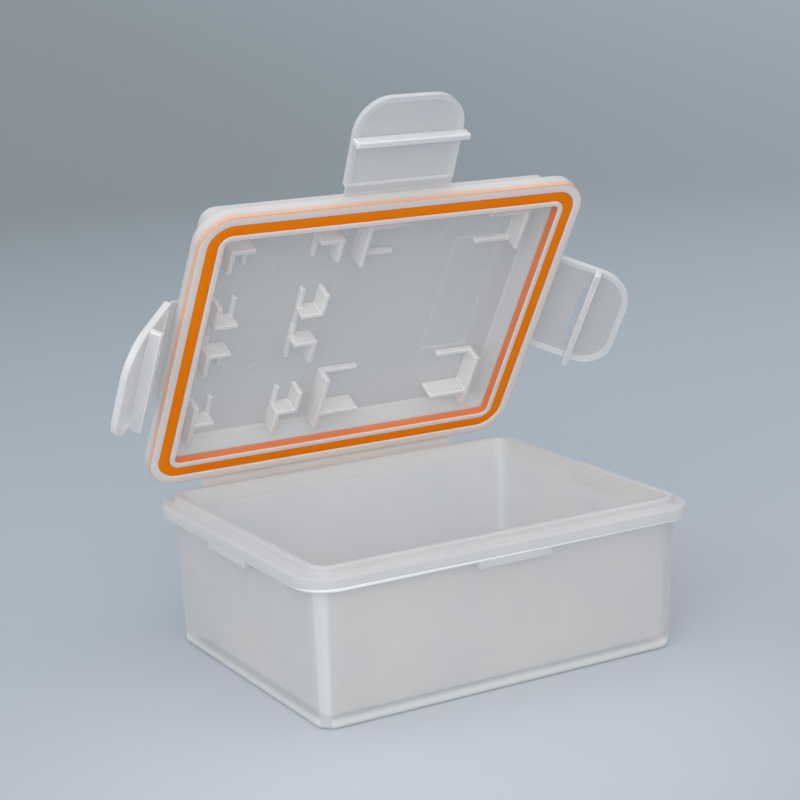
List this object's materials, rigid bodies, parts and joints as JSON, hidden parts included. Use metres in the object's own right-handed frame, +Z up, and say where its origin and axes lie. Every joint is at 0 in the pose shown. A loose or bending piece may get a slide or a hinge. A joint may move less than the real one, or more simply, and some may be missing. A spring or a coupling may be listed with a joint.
{
  "type": "battery case",
  "caption": "Small translucent case for a camera battery, with a hinged gasketed lid, snap latches on its edges and clips for memory cards inside the lid.",
  "frame": {"origin": "Centre of the tray's flat underside, at the surface the case stands on.", "axes": "+X runs along the case's long side to the right, +Y from the front edge to the hinge at the back, +Z up."},
  "size_m": [0.0799, 0.0524, 0.0751],
  "materials": {
    "tray_plastic": "satin, translucent",
    "lid_plastic": "satin, translucent",
    "web_plastic": "satin, translucent",
    "latch_plastic": "gloss, translucent",
    "gasket_silicone": "soft satin"
  },
  "bodies": {
    "tray_body": {"tray": "tray_plastic", "front_catch": "tray_plastic", "left_catch": "tray_plastic", "right_catch": "tray_plastic", "rear_hinge_web": "web_plastic"},
    "lid_body": {"lid": "lid_plastic", "gasket": "gasket_silicone", "small_card_1_clip_front_left": "lid_plastic", "small_card_1_clip_front_right": "lid_plastic", "small_card_1_clip_rear_left": "lid_plastic", "small_card_1_clip_rear_right": "lid_plastic", "small_card_2_clip_front_left": "lid_plastic", "small_card_2_clip_front_right": "lid_plastic", "small_card_2_clip_rear_left": "lid_plastic", "small_card_2_clip_rear_right": "lid_plastic", "large_card_clip_front_left": "lid_plastic", "large_card_clip_front_right": "lid_plastic", "large_card_clip_rear_left": "lid_plastic", "large_card_clip_rear_right": "lid_plastic", "front_latch_web": "web_plastic", "right_latch_web": "web_plastic", "left_latch_web": "web_plastic"},
    "front_latch_body": {"front_latch": "latch_plastic", "front_hook_bar": "latch_plastic"},
    "right_latch_body": {"right_latch": "latch_plastic", "right_hook_bar": "latch_plastic"},
    "left_latch_body": {"left_latch": "latch_plastic", "left_hook_bar": "latch_plastic"}
  },
  "joints": [
    {"name": "lid_hinge", "type": "hinge", "parent": "tray_body", "child": "lid_body", "pos_m": [0, 0.02434, 0.0194], "axis": [-1, 0, 0], "range_deg": [-58.7, 116], "deforming": ["rear_hinge_web"]},
    {"name": "front_latch_hinge", "type": "hinge", "parent": "lid_body", "child": "front_latch_body", "pos_m": [0, 0.00333, 0.06291], "axis": [1, 0, 0], "range_deg": [-22, 98], "deforming": ["front_latch_web"]},
    {"name": "right_latch_hinge", "type": "hinge", "parent": "lid_body", "child": "right_latch_body", "pos_m": [0.02995, 0.01567, 0.04261], "axis": [0, 0.5195, -0.8545], "range_deg": [-72, 48], "deforming": ["right_latch_web"]},
    {"name": "left_latch_hinge", "type": "hinge", "parent": "lid_body", "child": "left_latch_body", "pos_m": [-0.02995, 0.01567, 0.04261], "axis": [0, -0.5195, 0.8545], "range_deg": [-74, 46], "deforming": ["left_latch_web"]}
  ]
}
